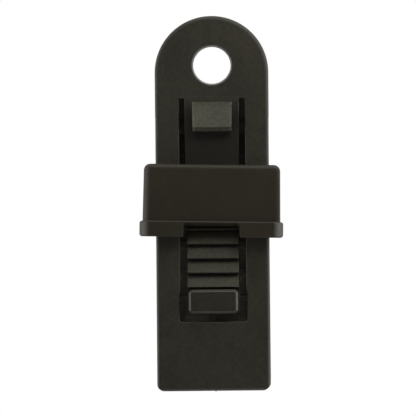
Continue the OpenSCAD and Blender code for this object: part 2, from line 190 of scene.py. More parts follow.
grain_group.links.new(mottle, grain_out.inputs["Mottle"])
print("grain group:", len(grain_group.nodes), "nodes")

# %% [markdown]
# ## Rubbed edges and painted highlights
# Edges that hands and the collar touch lose their grain first, and look paler and a little shinier.
# The pale colour also stands for the line of light that a rounded edge catches, so it is partly
# wear and partly a painted highlight. They could be painted on the mesh by hand, but each change of
# shape would spoil the paint. The Bevel node finds them anew: it gives the normal that a rounded
# edge would have, and where that differs from the real normal there is an edge. Noise breaks the
# line up.

# %% Rubbed edge and painted highlight group
rub_and_highlight_group, rub_and_highlight_in, rub_and_highlight_out = new_group("rubbed edges and painted highlights", {"Width": 0.35, "Breakup": 2.5}, ["Mask"])
soft_normal = add(rub_and_highlight_group, "ShaderNodeBevel", {
    "Radius": sums(rub_and_highlight_group, "MULTIPLY", rub_and_highlight_in.outputs["Width"], MM)}, samples=6)
true_normal = add(rub_and_highlight_group, "ShaderNodeNewGeometry")
turned = add(rub_and_highlight_group, "ShaderNodeVectorMath", {
    0: soft_normal.outputs[0], 1: true_normal.outputs["Normal"]}, operation="DOT_PRODUCT")
edge = band(rub_and_highlight_group, turned.outputs["Value"], 0.99, 0.86)
chips = add(rub_and_highlight_group, "ShaderNodeTexNoise", {
    "Vector": scaled_coordinates(
        rub_and_highlight_group, sums(rub_and_highlight_group, "DIVIDE", 1.0, rub_and_highlight_in.outputs["Breakup"])),
    "Scale": 1.0, "Detail": 4.0, "Roughness": 0.6})
broken = band(rub_and_highlight_group, chips.outputs["Fac"], 0.32, 0.68, 0.25, 1.0)
rub_and_highlight_group.links.new(sums(rub_and_highlight_group, "MULTIPLY", edge, broken), rub_and_highlight_out.inputs["Mask"])
print("rubbed edge group:", len(rub_and_highlight_group.nodes), "nodes")

# %% [markdown]
# ## Dust and painted shade
# A clip that has been handled holds a little pale dust in its corners, and has a few specks
# on its faces. Particles could be strewn over it, but they would weigh the model down.
# Ambient Occlusion is low in corners, so it says where dust stays. Specks are the cores of Voronoi
# cells, of which only a few are kept. The group also gives a mask of painted shade: a second
# Ambient Occlusion, which reaches further out of the corners, finds the valleys between the teeth,
# and there the plastic is painted darker, where shadow falls.

# %% Dust and painted shade group
dust_and_shade_group, dust_and_shade_in, dust_and_shade_out = new_group(
    "settled dust and painted shade", {"Reach": 1.2, "Shade Reach": 3.0}, ["Corners", "Specks", "Painted Shade"])
open_air = add(dust_and_shade_group, "ShaderNodeAmbientOcclusion", {
    "Distance": sums(dust_and_shade_group, "MULTIPLY", dust_and_shade_in.outputs["Reach"], MM)},
    samples=6, only_local=False)
lint = add(dust_and_shade_group, "ShaderNodeTexNoise", {
    "Vector": scaled_coordinates(dust_and_shade_group, 1.6), "Scale": 1.0, "Detail": 4.0})
corners = band(dust_and_shade_group, open_air.outputs["AO"], 0.75, 0.35)
patchy = band(dust_and_shade_group, lint.outputs["Fac"], 0.42, 0.68)
cells = add(dust_and_shade_group, "ShaderNodeTexVoronoi", {
    "Vector": scaled_coordinates(dust_and_shade_group, 0.55), "Scale": 1.0}, feature="F1")
core = band(dust_and_shade_group, cells.outputs["Distance"], 0.09, 0.05)
few = sums(dust_and_shade_group, "GREATER_THAN", cells.outputs["Color"], 0.8)
dust_and_shade_group.links.new(sums(dust_and_shade_group, "MULTIPLY", corners, patchy), dust_and_shade_out.inputs["Corners"])
dust_and_shade_group.links.new(sums(dust_and_shade_group, "MULTIPLY", core, few), dust_and_shade_out.inputs["Specks"])
# Painted shade: where this wider Ambient Occlusion is low, the valleys are painted darker
hidden = add(dust_and_shade_group, "ShaderNodeAmbientOcclusion", {
    "Distance": sums(dust_and_shade_group, "MULTIPLY", dust_and_shade_in.outputs["Shade Reach"], MM)},
    samples=8, only_local=False)
dust_and_shade_group.links.new(band(dust_and_shade_group, hidden.outputs["AO"], 0.92, 0.45), dust_and_shade_out.inputs["Painted Shade"])
print("dust group:", len(dust_and_shade_group.nodes), "nodes")

# %% [markdown]
# ## The plastic
# The whole clip is one black plastic with a warm olive tint. It is dark, so most of what the eye
# reads is its gloss: a satin one, which the grain scatters. One material could serve for all of it,
# but on a handled clip each piece has a tone of its own. So one function mixes the groups above
# into a material, and each finish calls it with its own values. The faces are fine, and the collar
# is a shade browner. The teeth and the block have a coarser grain, and they are painted paler and
# greyer, as painted light on ramps that lean towards the softbox. The walls and ribs behind the
# slots are painted paler, the rear jaw's floor most of all, as painted light in places that the
# lamps hardly reach. The eyelet's rims are painted almost grey, and the rims that face the light a
# little paler: both are painted highlights.

# %% A maker for the plastic's finishes
# pale colour of the edges: partly wear, partly a painted highlight
PALE_RUB_AND_HIGHLIGHT = (0.11, 0.10, 0.085, 1)
# the near-black colour of the painted shade in the valleys between the teeth
PAINTED_SHADE = (0.004, 0.0038, 0.003, 1)
DUST = (0.15, 0.12, 0.085, 1)
SPECKLE_TONE, MOTTLE_TONE = 0.55, 0.45  # how much each moves the tone from dark to light
MOTTLE_DULL, RUB_SHINE = 0.06, 0.08  # what they add to the roughness, and take from it
SPECK_SHARE, DUST_DULL = 0.5, 0.3  # how strong a speck is, and how much dust dulls the gloss
GRAIN_DEPTH = 0.05  # millimetres
PLASTIC_IOR = 1.5


def blend_colours(tree, share, under, over):
    """Lay one colour over another by a mask."""
    mixed = add(tree, "ShaderNodeMix", {"Factor": share}, data_type="RGBA")
    for socket, colour in (("A", under), ("B", over)):
        target = [s for s in mixed.inputs if s.name == socket and s.type == "RGBA"][0]
        if isinstance(colour, bpy.types.NodeSocket):
            tree.links.new(colour, target)
        else:
            target.default_value = colour
    return [s for s in mixed.outputs if s.type == "RGBA"][0]


def moulded_plastic(name, dark, light, rough, grain, bump, rub_and_highlight=0.35, dust=0.12, painted_shade=0.0,
                    change=None):
    """A black plastic, between a dark and a light tone, with grain and dust, pale edges that are
    partly wear and partly a painted highlight, and painted shade in its valleys.

    A change is a colour and two places below the eyelet. Between them the plastic turns into
    that colour.
    """
    made = bpy.data.materials.new(name)
    made.use_nodes = True
    tree = made.node_tree
    shader = tree.nodes["Principled BSDF"]
    texture = add(tree, "ShaderNodeGroup", node_tree=grain_group)
    texture.inputs["Grain Size"].default_value = grain
    rubbed = add(tree, "ShaderNodeGroup", node_tree=rub_and_highlight_group).outputs["Mask"]
    dust_and_shade = add(tree, "ShaderNodeGroup", node_tree=dust_and_shade_group)
    tone = sums(tree, "ADD", sums(tree, "MULTIPLY", texture.outputs["Speckle"], SPECKLE_TONE),
                sums(tree, "MULTIPLY", texture.outputs["Mottle"], MOTTLE_TONE))
    plastic = blend_colours(tree, tone, (*dark, 1), (*light, 1))
    gloss = sums(tree, "SUBTRACT", sums(tree, "ADD", rough, sums(
        tree, "MULTIPLY", texture.outputs["Mottle"], MOTTLE_DULL)),
                 sums(tree, "MULTIPLY", rubbed, RUB_SHINE))
    if change:
        place = add(tree, "ShaderNodeTexCoord").outputs["Object"]
        height = add(tree, "ShaderNodeSeparateXYZ", {0: place}).outputs["Z"]
        plastic = blend_colours(tree, band(tree, height, -change[1] * MM, -change[2] * MM),
                                plastic, (*change[0], 1))
    # painted shade: the valleys between the teeth are darkened as if in shadow
    black = sums(tree, "MULTIPLY", dust_and_shade.outputs["Painted Shade"], painted_shade)
    plastic = blend_colours(tree, black, plastic, PAINTED_SHADE)
    # edges painted paler: partly wear, partly a painted highlight along them
    worn = blend_colours(tree, sums(tree, "MULTIPLY", rubbed, rub_and_highlight), plastic, PALE_RUB_AND_HIGHLIGHT)
    settled = sums(tree, "ADD", sums(tree, "MULTIPLY", dust_and_shade.outputs["Corners"], dust),
                   sums(tree, "MULTIPLY", dust_and_shade.outputs["Specks"], SPECK_SHARE), clamp=True)
    tree.links.new(blend_colours(tree, settled, worn, DUST), shader.inputs["Base Color"])
    rough_at = sums(tree, "ADD", gloss, sums(tree, "MULTIPLY", settled, DUST_DULL), clamp=True)
    tree.links.new(rough_at, shader.inputs["Roughness"])
    relief = add(tree, "ShaderNodeBump", {
        "Height": texture.outputs["Height"], "Strength": bump, "Distance": GRAIN_DEPTH * MM})
    tree.links.new(relief.outputs["Normal"], shader.inputs["Normal"])
    shader.inputs["IOR"].default_value = PLASTIC_IOR
    shader.inputs["Specular IOR Level"].default_value = 0.5
    return made


# %% [markdown]
# Each finish below has a dark and a light tone, a roughness, the size of its grain in millimetres
# and the strength of its bump. The tongue turns darker down its slope. The deep floor behind the
# slots is painted pale, as painted light, and paler further down, where the collar's shadow ends.

# %% Finishes
OLIVE_DARK, OLIVE_LIGHT = (0.0218, 0.0193, 0.0105), (0.038, 0.0338, 0.019)
face_plastic = moulded_plastic("face plastic", OLIVE_DARK, OLIVE_LIGHT, 0.53, 0.8, 0.35)
tongue_plastic = moulded_plastic("tongue plastic", OLIVE_DARK, OLIVE_LIGHT, 0.51, 0.6, 0.2,
                                 change=((0.0122, 0.0098, 0.0045), 9.4, 14))
# teeth and grip ridges: a coarser grain, a paler tone that is painted light, and painted shade in
# the valleys
tooth_plastic_lit_and_shaded = moulded_plastic("tooth plastic painted lit and shaded", (0.0265, 0.025, 0.0118), (0.059, 0.056, 0.0285),
                                0.54, 0.7, 0.7, rub_and_highlight=0.5, painted_shade=1.0)
# block: a coarser grain, and a paler tone that is painted light on its ramp
block_plastic_painted_lit = moulded_plastic("block plastic painted lit", (0.042, 0.0412, 0.0245), (0.078, 0.077, 0.049),
                                0.52, 0.7, 0.7)
# left chamfer of the block: a painted highlight
chamfer_painted_highlight = moulded_plastic("block chamfer painted highlight", (0.054, 0.053, 0.032),
                                     (0.098, 0.097, 0.062), 0.5, 0.7, 0.7)
button_plastic = moulded_plastic("button plastic", (0.0138, 0.0125, 0.0066),
                                 (0.031, 0.0285, 0.016), 0.38, 0.6, 0.3)
# deep floor behind the slots: painted light, paler further down where the collar's shadow ends
deep_floor_painted_light = moulded_plastic("deep slot floor with painted light", (0.08, 0.074, 0.059), (0.14, 0.131, 0.107),
                                0.62, 0.4, 0.5, change=((0.36, 0.335, 0.275), 50, 64))
# rims and edges that face the light: painted paler, a painted highlight
edge_painted_highlight = moulded_plastic("edge painted highlight", (0.034, 0.031, 0.02), (0.06, 0.055, 0.037),
                              0.42, 0.6, 0.3)
# eyelet's rims: painted almost grey, a painted highlight
eyelet_rim_painted_highlight = moulded_plastic("eyelet rim painted highlight", (0.17, 0.165, 0.15), (0.25, 0.243, 0.222),
                               0.4, 0.4, 0.3)
# walls and ribs behind the slots: painted paler, as painted light
wall_painted_light = moulded_plastic("slot wall with painted light", (0.055, 0.051, 0.040), (0.095, 0.089, 0.071),
                              0.75, 0.4, 0.5, rub_and_highlight=0.1)
collar_finish = moulded_plastic("collar plastic", (0.0171, 0.0123, 0.0042),
                                (0.0256, 0.0186, 0.0067), 0.56, 0.6, 0.3)
# flange's corners: shinier, and painted paler as a painted highlight
flange_corner_painted_highlight = moulded_plastic("flange corner painted highlight", (0.026, 0.023, 0.0135),
                                      (0.043, 0.038, 0.0235), 0.48, 0.6, 0.3)
print("finishes:", [m.name for m in bpy.data.materials])

# %% [markdown]
# ## Moulded edges
# No moulded edge is truly sharp: it has a small round that catches a line of light. The CAD
# solids leave the smallest ones out. Each CAD piece is copied, its flat faces are joined into
# single ones, and its sharp edges are bevelled. A Bevel modifier would round every edge by
# the same size, so `bmesh` is used instead, where each edge can be chosen.

# %% A dresser for the CAD pieces
WELD = 2e-6  # metres between points that count as one
FLAT = math.radians(0.5)  # faces that meet at less than this are joined


def sharp_edges(mesh, least=30):
    """Edges where two faces meet at more than so many degrees."""
    return [e for e in mesh.edges if len(e.link_faces) == 2
            and e.calc_face_angle(0) > math.radians(least)]


def clean_copy(node, wider=1.0):
    """The CAD piece's mesh with its corners welded and its flat faces joined, made wider."""
    mesh = bmesh.new()
    mesh.from_mesh(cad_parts[node].data)
    bmesh.ops.remove_doubles(mesh, verts=mesh.verts, dist=WELD)
    bmesh.ops.dissolve_limit(mesh, angle_limit=FLAT, verts=mesh.verts, edges=mesh.edges)
    bmesh.ops.scale(mesh, vec=(wider, 1, 1), verts=mesh.verts)
    return mesh


def round_off(mesh, edges, size, steps=2, clamp=True):
    """Bevel some edges by a size in millimetres."""
    bmesh.ops.bevel(mesh, geom=edges, offset=size * MM, offset_type="OFFSET", segments=steps,
                    profile=0.5, affect="EDGES", clamp_overlap=clamp)


def finish_piece(mesh, name, body, finish, slot, *nodes, shade=35, others=(), pick=None):
    """Turn a bmesh into a piece that rides on a body and stands for its CAD nodes.

    Where it has other finishes too, pick(face) is 0 for a face in the piece's own finish, 1
    for one in the first of the others, and so on.
    """
    data = bpy.data.meshes.new(name)
    if pick:
        for face in mesh.faces:
            face.material_index = pick(face)
    mesh.to_mesh(data)
    mesh.free()
    piece = bpy.data.objects.new(name, data)
    bpy.context.scene.collection.objects.link(piece)
    for material in (finish, *others):
        data.materials.append(material)
    data.shade_smooth()
    data.set_sharp_from_angle(angle=math.radians(shade))
    even = piece.modifiers.new("even shading", "WEIGHTED_NORMAL")
    even.keep_sharp = True
    if body:
        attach(piece, body)
    if nodes:
        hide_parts(*nodes)
    print(f"{name}: {len(data.polygons)} faces")
    return piece


# %% [markdown]
# ## Soft shapes from rings
# The collar and the button have full, uneven rounds that bevels can't give. A Subdivision
# modifier would puff a box up into something like them, but would lose its size. So they are
# lofted: a stack of rounded rectangles is joined into a skin. Near an end each ring is drawn
# in, by what a round edge needs at that height.

# %% Rings and lofts


def ring(half_u, low, high, corner, place, steps=6, power=2.0, right=None):
    """A rounded rectangle's points, as place(u, v) puts them in space, in millimetres.

    A power of 2 makes its corners round, and one nearer 1 makes them flatter, like chamfers.
    The corners on the right may have a width and a depth of their own.
    """
    points = []
    for side_u, side_v, first in ((1, 1, 0), (-1, 1, 90), (-1, -1, 180), (1, -1, 270)):
        wide, deep = right if right and side_u > 0 else (corner, corner)
        centre_u = side_u * (half_u - wide)
        centre_v = high - deep if side_v > 0 else low + deep
        for step in range(steps + 1):
            angle = math.radians(first + 90 * step / steps)
            u, v = (math.copysign(abs(share) ** (2 / power), share)
                    for share in (math.cos(angle), math.sin(angle)))
            points.append(place(centre_u + wide * u, centre_v + deep * v))
    return points


def drawn_in(height, radius, power=2.0):
    """How far a round edge is drawn in at a height from the end."""
    share = max(1 - height / radius, 0)
    return radius * (1 - (1 - share ** power) ** (1 / power))


def loft(rings, closed):
    """Join rings into a skin, which closes on itself or has a flat cap at each end."""
    mesh = bmesh.new()
    made = [[mesh.verts.new(point) for point in points] for points in rings]
    for upper, lower in zip(made, made[1:] + (made[:1] if closed else [])):
        for i in range(len(upper)):
            j = (i + 1) % len(upper)
            mesh.faces.new((upper[i], upper[j], lower[j], lower[i]))
    if not closed:
        mesh.faces.new(made[0])
        mesh.faces.new(made[-1])
    bmesh.ops.recalc_face_normals(mesh, faces=mesh.faces)
    return mesh


def cut(mesh, cutter):
    """Take one closed bmesh away from another."""
    work = []
    for part in (mesh, cutter):
        data = bpy.data.meshes.new("workpiece")
        part.to_mesh(data)
        part.free()
        work.append(bpy.data.objects.new("workpiece", data))
        bpy.context.scene.collection.objects.link(work[-1])
    boolean = work[0].modifiers.new("cut", "BOOLEAN")
    boolean.object, boolean.operation, boolean.solver = work[1], "DIFFERENCE", "EXACT"
    done = bmesh.new()
    done.from_object(work[0], bpy.context.evaluated_depsgraph_get())
    for made in work:
        bpy.data.objects.remove(made)
    return done


# %% [markdown]
# ## Front jaw
# This piece carries the eyelet and the window. It could be drawn afresh, but the CAD copy
# keeps its walls where the other pieces need them, and its outer edges are already round. The
# rims of the window and the slots on the front face are rounded here. At the middle of the
# mouth's edge stands the small nub that the mould's gate left. It is put on before the rims
# are rounded, because here faces that were added after the bevel came out in another order in
# each run. A mould isn't perfect: the mouth's right corner is rounder than its left one, and
# the hole is a shade off centre. Both are made by moving points, which keeps the mesh closed.

# %% Shape of the mouth
JAW_WIDER = 1.005  # both jaws are a little wider than the CAD ones
MOUTH_LIFT, MOUTH_HIGH = 0.07, 0.9  # how far the mouth's edge is lifted, and how high it goes
CORNER_REACH, CORNER_IN = 2.6, 0.21  # how far round the corner points move in, and how far


def ease_mouth(mesh):
    """Lift the mouth's edge a hair, and make its right corner rounder."""
    lowest = min(v.co.z for v in mesh.verts)
    corner = Vector((max(v.co.x for v in mesh.verts), 0, lowest))
    for vertex in mesh.verts:
        near = 1 - (vertex.co - corner).xz.length / (CORNER_REACH * MM)
        if vertex.co.z < lowest + MOUTH_HIGH * MM:
            vertex.co.z += MOUTH_LIFT * MM
        if near > 0:
            vertex.co += Vector((-CORNER_IN, 0, CORNER_IN)) * near * MM


# %% [markdown]
# Four finishes meet on the front jaw. The eyelet's rims are painted almost grey, a painted
# highlight on their rounds. The walls behind the slots' tops are painted paler, as painted light,
# and the window's right rim, which faces the light, is painted pale as a painted highlight. Each
# face of the mesh picks its finish by where it lies and where it faces, so that nothing has to be
# painted or unwrapped.

# %% Finishes on the front jaw
EYELET_RIM = 6.3  # the eyelet's rims lie within this radius of its axis, in millimetres
RIM_R = 0.38
WINDOW_HALF, WINDOW_BELOW = 12.5, 9  # the window's rims lie within these
SLOT_WALL_Y = 1  # the walls behind the slots' tops lie behind this depth


def turned_edge(face):
    """Whether a face belongs to a round edge that turns away from the camera."""
    return -0.95 < face.normal.y < -0.25


def front_finish(face):
    """Pick the walls behind the slots' tops, painted light, and the painted highlights on the
    eyelet's rims and the window's right rim.
    """
    middle = face.calc_center_median() / MM
    if face.normal.y < -0.9 and middle.y > SLOT_WALL_Y:
        return 1
    if 0.3 < abs(face.normal.y) < 0.9 and middle.xz.length < EYELET_RIM:
        return 2
    inside = (abs(middle.x) < WINDOW_HALF and middle.z < -WINDOW_BELOW
              and middle.y < FACE_Y + RIM_R)
    return 3 if inside and turned_edge(face) and face.normal.x < -0.2 else 0


# %% Front jaw
HOLE_SHIFT = Vector((0.13, 0, 0.09))  # how far the hole is off centre, in millimetres
NUB_X, NUB_Y, NUB_BELOW = 0.55, -4.2, 95.38  # the gate's nub, on the mouth's lower edge
NUB_TIP, NUB_FOOT, NUB_LONG = 0.2, 0.27, 0.6
front = clean_copy("front_jaw", JAW_WIDER)
ease_mouth(front)
for corner in front.verts:
    if corner.co.xz.length < EYELET_RIM * MM:
        corner.co += HOLE_SHIFT * MM
bmesh.ops.create_cone(front, cap_ends=True, segments=16, radius1=NUB_TIP * MM,
                      radius2=NUB_FOOT * MM, depth=NUB_LONG * MM,
                      matrix=Matrix.Translation(at(NUB_X, NUB_Y, NUB_BELOW)))
rims = [e for e in sharp_edges(front, 50)
        if all(abs(v.co.y - FACE_Y * MM) < 1e-5 for v in e.verts)]
round_off(front, rims, RIM_R, 4, clamp=False)
finish_piece(front, "front_jaw_moulding", "clip_body", face_plastic, "body_plastic", "front_jaw",
             others=(wall_painted_light, eyelet_rim_painted_highlight, edge_painted_highlight), pick=front_finish)
print("rim edges:", len(rims))

# %% [markdown]
# ## Rear jaw and the two grips
# The rear jaw is a shallow tray with ribs. Its floor lies deep in the clip, and the slots show it
# paler than any face, so it is painted paler, as painted light. One pale material all over would
# make its back pale too, so each face picks its finish again. The ridges that bite the tarp are CAD
# copies with their crests rounded, in the same coarse finish as the teeth, with its painted light
# and shade.

# %% Finishes on the rear jaw
TRAY_HALF, TRAY_FRONT, TRAY_BACK = 13.7, 4, 11  # the tray with the ribs lies within these
PAINTED_LIGHT_BELOW = 45  # the floor is painted paler, as painted light, further than this below the eyelet
FLOOR_Y, FLOOR_BELOW, FLOOR_LEAN = 4.9, 50, 0.12  # the floor's depth, where, and how it grows


def rear_finish(face):
    """Pick the rear jaw's deep floor, and the nearer walls and ribs, which show in the slots, for
    their painted light.
    """
    middle = face.calc_center_median() / MM
    aside, low = abs(middle.x) > TRAY_HALF, middle.z < -PAINTED_LIGHT_BELOW
    if face.normal.z > 0.5 and TRAY_FRONT < middle.y < TRAY_BACK and low and not aside:
        return 1
    if face.normal.y > -0.5 or middle.y > TRAY_BACK or aside:
        return 0
    return 1 if low and middle.y > FLOOR_Y + FLOOR_LEAN * (-middle.z - FLOOR_BELOW) else 2


# %% Rear jaw and the two grips
RIDGE_R = 0.15
rear = clean_copy("rear_jaw", JAW_WIDER)
ease_mouth(rear)
finish_piece(rear, "rear_jaw_moulding", "rear_jaw", face_plastic, "body_plastic", "rear_jaw",
             others=(deep_floor_painted_light, wall_painted_light), pick=rear_finish)
for node, body in (("front_grip", "clip_body"), ("rear_grip", "rear_jaw")):
    ridges = clean_copy(node)
    round_off(ridges, sharp_edges(ridges), RIDGE_R)
    finish_piece(ridges, node + "_ridges", body, tooth_plastic_lit_and_shaded, "body_plastic", node)

# %% [markdown]
# ## Tongue and teeth
# The tongue is a spring in the window. Its front slopes back from the face, then runs level under
# the saw teeth, and the collar's pawl clicks down them. Both could be built from boxes, but the CAD
# solids already have the slope and the pitch that the lock needs. So they are copied, and only
# their edges are rounded: more on the tongue, and hardly on the teeth, whose crests have to hold.
# The tongue's left edge lies a little further out, most of all at the foot of the slope. Its side
# edges are painted pale, as a painted highlight.

# %% Tongue and teeth
TONGUE_R, TOOTH_R, TEETH_NARROWER = 0.2, 0.09, 0.985
LEFT_EDGE, EDGE_OUT = -7, 0.2  # which points are moved out, and how far at most
OUT_FROM, OUT_MOST, OUT_TO = -4, 19, 75  # the places below the eyelet where that holds
tongue = clean_copy("ratchet_tongue")
for corner in tongue.verts:
    below = -corner.co.z / MM
    if corner.co.x < LEFT_EDGE * MM:
        corner.co.x -= EDGE_OUT * MM * min((below - OUT_FROM) / (OUT_MOST - OUT_FROM),
                                           (OUT_TO - below) / (OUT_TO - OUT_MOST))
round_off(tongue, sharp_edges(tongue, 60), TONGUE_R, clamp=False)
finish_piece(tongue, "tongue_moulding", "tongue", tongue_plastic, "body_plastic",
             "ratchet_tongue", others=(edge_painted_highlight,),
             pick=lambda face: int(turned_edge(face) and abs(face.normal.x) > 0.3))
teeth = clean_copy("ratchet_teeth", TEETH_NARROWER)
round_off(teeth, sharp_edges(teeth), TOOTH_R)
finish_piece(teeth, "saw_teeth", "tongue", tooth_plastic_lit_and_shaded, "body_plastic", "ratchet_teeth")

# %% [markdown]
# ## Stop block
# The block is the wedge on the tongue that stops the collar on its way up. Its side chamfers
# are as wide at its thin top end as at its crest, and shallow. Under the crest a slope leads
# back to a narrow flat before the drop. A bevelled wedge would lose its chamfers where it gets
# thin. So each row across the block has the same six points, and the block is a stack of rows.
# Its left chamfer is painted paler, a painted highlight, and its right one darker, painted shade.

# %% Stop block
BLOCK_HALF, BLOCK_DRAFT, BLOCK_TOP, CREST_BELOW, CREST_Y = 5.87, 0.15, 10.7, 18.15, -8.0
CHAMFER_WIDE, CHAMFER_DEEP, CHAMFER_SHARE = 0.65, 0.32, 0.8  # of the thickness, at most
FOOT_SUNK, TOP_PROUD = 0.05, 0.1  # in the tongue's front, and out of it at the thin end
SLOPE_ROWS, BLOCK_R = 8, 0.08
LIP_ROWS = ((0.45, 0.65), (0.95, 0.7), (1.15, 0.95), (1.25, 1.35))  # below and behind the crest


def block_row(below, front):
    """Six points across the block: its feet, its side edges and its chamfers' inner edges."""
    foot = tongue_front(below) + FOOT_SUNK
    side = front + min(CHAMFER_DEEP, CHAMFER_SHARE * (foot - front))
    edge = BLOCK_HALF - BLOCK_DRAFT * (below - BLOCK_TOP) / (CREST_BELOW - BLOCK_TOP)
    half = [(edge, foot), (edge, side), (edge - CHAMFER_WIDE, front)]
    return [at(-x, y, below) for x, y in half] + [at(x, y, below) for x, y in reversed(half)]


def block_finish(face):
    """Pick the left chamfer, painted paler as a painted highlight, and the right one, painted
    darker as painted shade.
    """
    if face.normal.y > -0.3 or abs(face.normal.x) < 0.2:
        return 0
    return 1 if face.normal.x < 0 else 2


block_rows = [block_row(BLOCK_TOP, tongue_front(BLOCK_TOP) - TOP_PROUD)]
for step in range(1, SLOPE_ROWS + 1):
    share = step / SLOPE_ROWS
    front_y = tongue_front(BLOCK_TOP) + (CREST_Y - tongue_front(BLOCK_TOP)) * share
    block_rows.append(block_row(BLOCK_TOP + (CREST_BELOW - BLOCK_TOP) * share, front_y))
for past, back in LIP_ROWS:
    block_rows.append(block_row(CREST_BELOW + past, CREST_Y + back))
block = loft(block_rows, closed=False)
round_off(block, sharp_edges(block, 14), BLOCK_R)
# the right chamfer takes the darker tooth finish, as painted shade
finish_piece(block, "stop_block_moulding", "tongue", block_plastic_painted_lit, "body_plastic", "stop_block",
             shade=25, others=(chamfer_painted_highlight, tooth_plastic_lit_and_shaded), pick=block_finish)

# %% [markdown]
# ## Release button
# A thumb presses this button to free the lock. It is a pillow: its front edges are rounded
# over a whole millimetre at the sides and a little less at its top and bottom, and they are
# flatter than a true round. A bevel has one size for all four sides, so the button is lofted.
# Its top and bottom edges are painted pale, as a painted highlight.

# %% Release button
BUTTON_HALF, BUTTON_TOP, BUTTON_END, BUTTON_FRONT = 7.35, 65.72, 72.88, -7.5
BUTTON_R, BUTTON_POWER, END_SHARE = 1.0, 1.35, 0.8  # END_SHARE of it at the top and bottom
BUTTON_CORNER, LEAST_CORNER = 1.3, 0.45
button_rings = []
for height in (0, 0.03, 0.1, 0.22, 0.38, 0.58, 0.8, 1.0, 2.8):
    inset = drawn_in(height, BUTTON_R, BUTTON_POWER)
    button_rings.append(ring(
        BUTTON_HALF - inset, BUTTON_TOP + END_SHARE * inset, BUTTON_END - END_SHARE * inset,
        max(BUTTON_CORNER - inset, LEAST_CORNER),
        lambda x, below, y=BUTTON_FRONT + height: at(x, y, below)))
button = loft(button_rings, closed=False)
finish_piece(button, "release_button_moulding", "tongue", button_plastic, "body_plastic",
             "release_button", others=(edge_painted_highlight,),
             pick=lambda face: int(turned_edge(face) and abs(face.normal.z) > abs(face.normal.x)))

# %% [markdown]
# ## Root of the tongue
# On the real clip the tongue grows out of the face in one piece and bends there. The CAD model has
# a thin gap between the two, because they are two bodies. A skin covers it: a strip as wide as the
# tongue, a few hundredths of a millimetre proud, that follows the face and then the tongue's curve.

# %% Skin over the tongue's root
SKIN_PROUD, SKIN_THICK, SKIN_HALF = 0.03, 0.3, 8.0
SKIN_TOP, SKIN_LONG, SKIN_STEPS = 9.15, 1.7, 14


def strip(rows, half_width):
    """A strip across the clip through rows of (depth, place below the eyelet)."""
    mesh = bmesh.new()
    made = [[mesh.verts.new(at(x, y, below)) for x in (-half_width, half_width)]
            for y, below in rows]
    for upper, lower in zip(made, made[1:]):
        mesh.faces.new((upper[0], lower[0], lower[1], upper[1]))
    return mesh


def close_strip(mesh):
    """Weld the first row of a strip to its last one, and fill its two open sides."""
    bmesh.ops.remove_doubles(mesh, verts=mesh.verts, dist=1e-7)
    bmesh.ops.holes_fill(mesh, edges=mesh.edges)
    bmesh.ops.recalc_face_normals(mesh, faces=mesh.faces)


skin_rows = []
for step in range(SKIN_STEPS + 1):
    below = SKIN_TOP + SKIN_LONG * step / SKIN_STEPS
    proud = SKIN_PROUD * min(1.0, step / 5, (SKIN_STEPS - step) / 2)
    skin_rows.append((tongue_front(below) - proud, below))
skin_rows += [(y + SKIN_THICK, below) for y, below in reversed(skin_rows)]
root_skin = strip(skin_rows + skin_rows[:1], SKIN_HALF)
close_strip(root_skin)
skin_piece = finish_piece(root_skin, "tongue_root_skin", None, face_plastic, "body_plastic")
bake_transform(skin_piece)

# %% [markdown]
# ## Collar
# The collar is a closed loop that squeezes the jaws together. It could be a CAD copy with
# bevels, but no two of its rounds are alike. Its left front corner is rounder than its right
# one, its top is rounded more at the sides than at the front, and the flange's corners are
# flatter. So it is lofted from rings that run down its outside and back up its bore. It has
# some play on the jaws, and in the photograph its right side hangs lower. The CAD model keeps
# it square, so that it slides straight. Here its dressed pieces are turned by about a degree,
# which the gaps beside the jaws leave room for.

# %% Collar
COLLAR_TOP, FLANGE_TOP, COLLAR_END = 29.05, 45.8, 50.38  # places below the eyelet
COLLAR_HALF, COLLAR_FRONT, COLLAR_BACK, COLLAR_DRAFT = 20.2, -8.8, 10.8, 0.24
FLANGE_HALF, FLANGE_OUT = 21.08, 0.95
LEFT_CORNER, RIGHT_CORNER = 2.6, (1.65, 0.8)
FLANGE_CORNER, FLANGE_POWER = 2.9, 1.42
TOP_ROUND = (1.9, 1.4)  # across the clip, and in depth
FLANGE_TOP_ROUND, FLANGE_END_ROUND = (0.7, 0.3), (0.8, 0.4)
PLAY_X = -0.06  # how far the collar sits to one side on the jaws
BORE_HALF, BORE_FRONT, BORE_BACK, BORE_CORNER = 17.1, -6.3, 8.3, 1.2
COCKED, PAWL_COCKED = math.radians(1.15), math.radians(0.9)
PIVOT_BELOW = 28.8  # they turn about this place


def cock(mesh, angle):
    """Turn a piece of the collar a little, about a line from front to back."""
    pivot = at(0, 0, PIVOT_BELOW)
    turned = Matrix.Translation(pivot) @ Matrix.Rotation(angle, 4, "Y") @ Matrix.Translation(-pivot)
    bmesh.ops.transform(mesh, matrix=turned, verts=mesh.verts)


def collar_ring(below, half_x, in_x=0.0, in_y=0.0, out=0.0):
    """A ring round the collar, drawn in by some amounts, or let out for the flange's depth."""
    if out > 0.5:
        corner, right, power = FLANGE_CORNER - in_x, None, FLANGE_POWER
    else:
        corner, power = LEFT_CORNER * (1 - in_x / 3), 2
        right = [size * (1 - in_x / 3) for size in RIGHT_CORNER]
    return ring(half_x - in_x, COLLAR_FRONT - out + in_y, COLLAR_BACK + out - in_y, corner,
                lambda x, y: at(x + PLAY_X, y, below), power=power, right=right)


